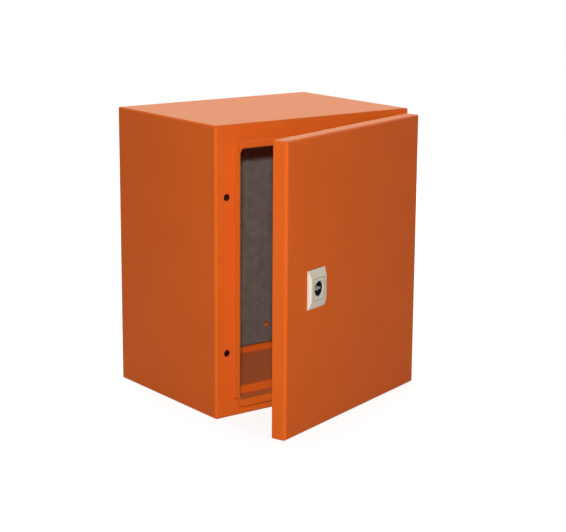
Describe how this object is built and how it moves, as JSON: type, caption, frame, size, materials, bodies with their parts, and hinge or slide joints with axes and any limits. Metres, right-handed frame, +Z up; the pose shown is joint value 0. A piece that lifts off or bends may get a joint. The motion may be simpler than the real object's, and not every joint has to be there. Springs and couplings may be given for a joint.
{
  "type": "steel wall enclosure",
  "caption": "Deep rectangular sheet-steel wall box with a rain gutter round its door opening, a hinged door with a turn lock, a mounting plate and a gland plate.",
  "frame": {"origin": "centre of the four wall-fixing holes, on the outer face of the back wall", "axes": "+Z up, +X to the right seen from the front, +Y into the wall; the door is at -Y and hinged on the right"},
  "size_m": [0.2506, 0.2752, 0.3],
  "materials": {
    "orange_powder_coat": "orange-peel polyester powder coat on steel sheet",
    "galvanised_sheet": "hot-dip galvanised steel sheet, dull grey with fine spangle",
    "zinc_plated_steel": "bright zinc-plated fasteners",
    "die_cast_zinc": "tumbled zinc die casting",
    "black_plastic": "moulded polyamide",
    "foamed_seal": "foamed-in-place polyurethane",
    "light_grey_plastic": "glass-filled polyamide, light warm grey",
    "lock_insert_zinc": "plated zinc rotor",
    "black_steel": "phosphated spring steel"
  },
  "bodies": {
    "enclosure": {"body_shell": "orange_powder_coat", "gland_plate": "orange_powder_coat", "gland_gasket": "foamed_seal", "gland_studs": "zinc_plated_steel", "gland_washers": "zinc_plated_steel", "gland_nuts": "zinc_plated_steel", "mounting_plate": "galvanised_sheet", "plate_studs": "zinc_plated_steel", "plate_spacers": "zinc_plated_steel", "plate_washers": "zinc_plated_steel", "plate_nuts": "zinc_plated_steel", "earth_stud": "zinc_plated_steel", "earth_washers": "zinc_plated_steel", "earth_nut": "zinc_plated_steel", "hinge_block_upper": "die_cast_zinc", "hinge_block_lower": "die_cast_zinc", "hinge_screws": "zinc_plated_steel", "hinge_screw_washers": "zinc_plated_steel"},
    "door": {"door_leaf": "orange_powder_coat", "door_gasket": "foamed_seal", "hinge_bracket_upper": "zinc_plated_steel", "hinge_bracket_lower": "zinc_plated_steel", "hinge_pin_upper": "zinc_plated_steel", "hinge_pin_lower": "zinc_plated_steel", "hinge_circlips": "black_steel", "bracket_studs": "zinc_plated_steel", "bracket_nuts": "zinc_plated_steel", "door_earth_stud": "zinc_plated_steel", "door_earth_washer": "zinc_plated_steel", "door_earth_nut": "zinc_plated_steel", "lock_housing": "light_grey_plastic", "lock_gasket": "black_plastic", "lock_nut": "zinc_plated_steel"},
    "lock_core": {"lock_insert": "lock_insert_zinc", "lock_cam": "zinc_plated_steel", "cam_washer": "zinc_plated_steel", "cam_screw": "zinc_plated_steel"}
  },
  "joints": [
    {"name": "door_hinge", "type": "hinge", "parent": "enclosure", "child": "door", "pos_m": [0.119, -0.19, 0], "axis": [0, 0, 1], "range_deg": [-18.4, 96.6]},
    {"name": "lock_turn", "type": "hinge", "parent": "door", "child": "lock_core", "pos_m": [-0.06461, -0.25108, -0.0052], "axis": [-0.3156, 0.9489, 0], "range_deg": [0, 90]}
  ]
}
